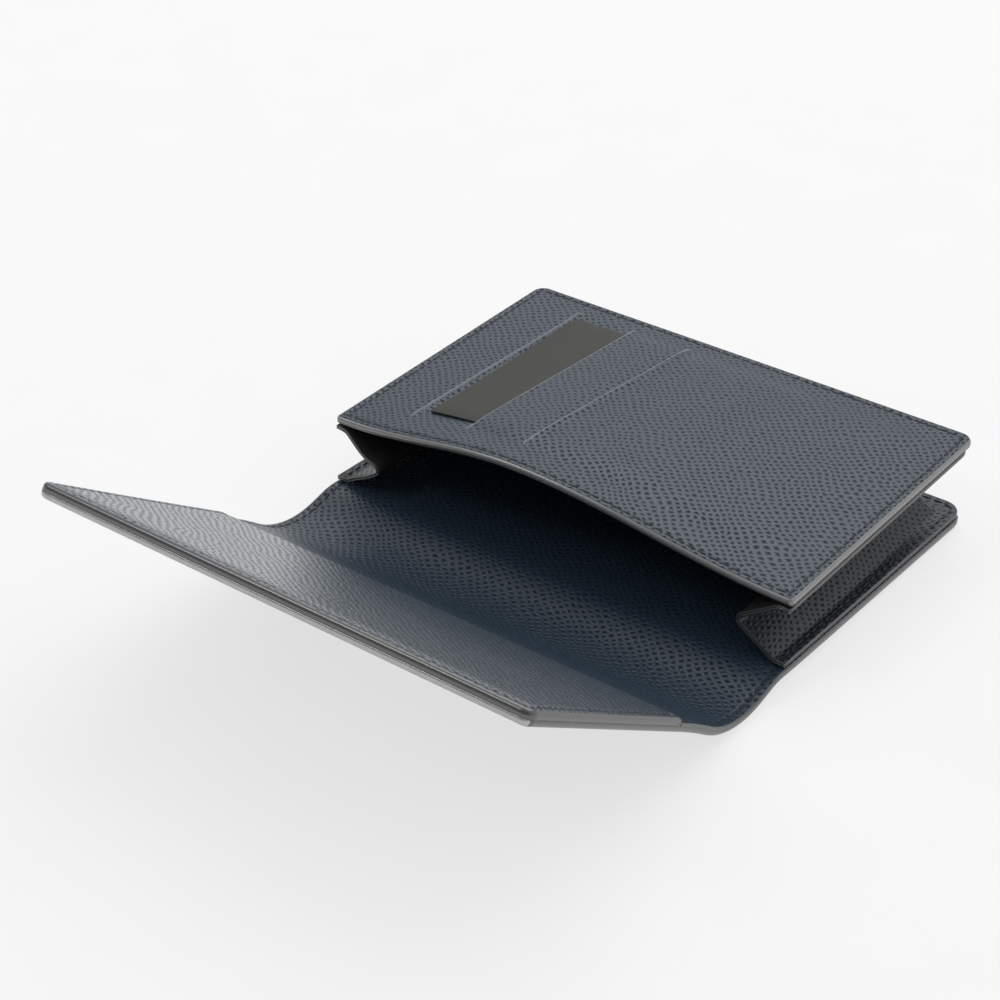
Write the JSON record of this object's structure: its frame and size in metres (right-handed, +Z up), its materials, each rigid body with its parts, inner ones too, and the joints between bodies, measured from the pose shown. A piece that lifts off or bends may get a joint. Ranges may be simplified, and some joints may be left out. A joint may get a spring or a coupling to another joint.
{
  "type": "business card case",
  "caption": "Leather card case, open, with a folding flap, a bellows gusset and a slit front pocket holding a loose card.",
  "frame": {"origin": "centre of the footprint of the open case, on the surface that it lies on", "axes": "+X to the case's right, +Y from the flap's free edge towards the closed back edge, +Z up from the table"},
  "size_m": [0.115, 0.1598, 0.0441],
  "materials": {
    "cover_leather": "cross-hatched pebble grain, satin, dyed navy",
    "lining_leather": "cross-hatched pebble grain, satin, dyed navy",
    "gusset_leather": "thin grained leather, satin, dyed navy",
    "gusset_lining": "smooth thin black lining leather",
    "edge_paint": "satin black edge paint on the cut edges",
    "stiffener": "pressed fibre board, hidden",
    "thread": "twisted navy sewing thread",
    "pocket_backing": "black woven backing, hidden",
    "card_stock": "matt dark warm grey card"
  },
  "bodies": {
    "back": {"back_cover_leather": "cover_leather", "back_board": "stiffener", "back_lining_leather": "lining_leather", "gusset_left_leather": "gusset_leather", "gusset_left_lining": "gusset_lining", "gusset_right_leather": "gusset_leather", "gusset_right_lining": "gusset_lining", "gusset_bottom_leather": "gusset_leather", "gusset_bottom_lining": "gusset_lining", "back_seam_thread": "thread"},
    "spine": {"spine_lining_leather": "lining_leather", "spine_reinforcement": "stiffener", "spine_cover_leather": "cover_leather", "spine_left_thread": "thread", "spine_right_thread": "thread"},
    "flap": {"flap_cover_leather": "cover_leather", "flap_reinforcement": "stiffener", "flap_lining_leather": "lining_leather", "flap_filler_board": "stiffener", "flap_facing_leather": "lining_leather", "flap_seam_thread": "thread"},
    "front_panel": {"front_lining": "gusset_lining", "front_leather": "cover_leather", "pocket_backing": "pocket_backing", "front_seam_thread": "thread"},
    "insert": {"insert_card": "card_stock"}
  },
  "joints": [
    {"name": "spine_fold", "type": "hinge", "parent": "back", "child": "spine", "pos_m": [0, 0.00354, 0.00404], "axis": [-1, 0, 0], "range_deg": [0, 86]},
    {"name": "flap_fold", "type": "hinge", "parent": "spine", "child": "flap", "pos_m": [0, -0.02162, 0.00638], "axis": [-1, 0, 0], "range_deg": [-24, 64]},
    {"name": "gusset_squeeze", "type": "slide", "parent": "back", "child": "front_panel", "axis": [0, 0.0216, 0.9998], "range_m": [-0.01, 0], "stiffness_N_per_m": 60, "springref_m": 0.01, "deforming": ["gusset_left_leather", "gusset_left_lining", "gusset_right_leather", "gusset_right_lining", "gusset_bottom_leather", "gusset_bottom_lining"]},
    {"name": "card_slide", "type": "slide", "parent": "front_panel", "child": "insert", "axis": [1, 0, 0], "range_m": [-0.075, 0]}
  ]
}
